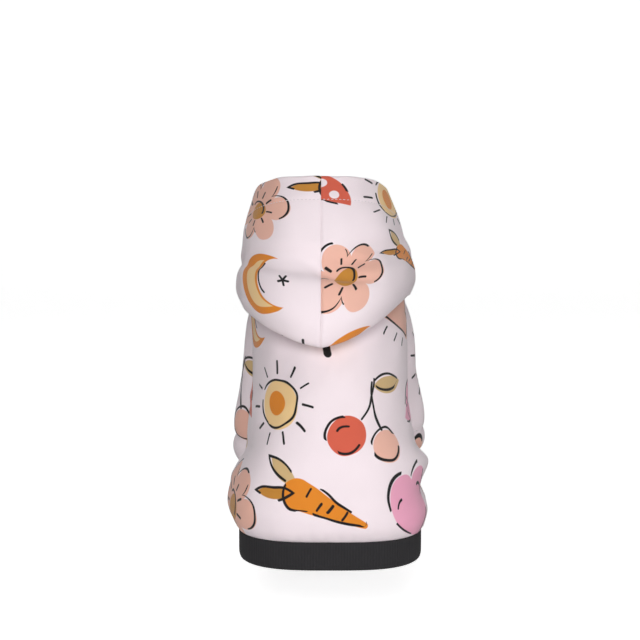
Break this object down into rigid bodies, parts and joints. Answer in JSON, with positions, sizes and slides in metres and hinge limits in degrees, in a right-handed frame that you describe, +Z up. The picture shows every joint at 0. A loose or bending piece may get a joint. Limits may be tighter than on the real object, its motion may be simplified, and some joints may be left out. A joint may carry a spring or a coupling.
{
  "type": "dog hoodie",
  "caption": "Pullover hoodie for a dog: tapered printed body with a hood lying down on the back, front-leg sleeves with ribbed cuffs and a ribbed waist band.",
  "frame": {"origin": "inside of the body cloth at the neck seam, on the middle of the back, over the wearer's withers", "axes": "+Y the way the wearer faces, +Z up as worn by a sitting dog, +X to the wearer's right"},
  "size_m": [0.1827, 0.2566, 0.334],
  "materials": {
    "printed_cloth": "soft printed knit",
    "dark_rib": "ribbed knit"
  },
  "bodies": {
    "root": {"body_back": "printed_cloth", "body_belly": "printed_cloth", "hood_left": "printed_cloth", "hood_right": "printed_cloth", "sleeve_left": "printed_cloth", "sleeve_right": "printed_cloth", "waist_band": "dark_rib", "cuff_left": "dark_rib", "cuff_right": "dark_rib"}
  },
  "joints": []
}
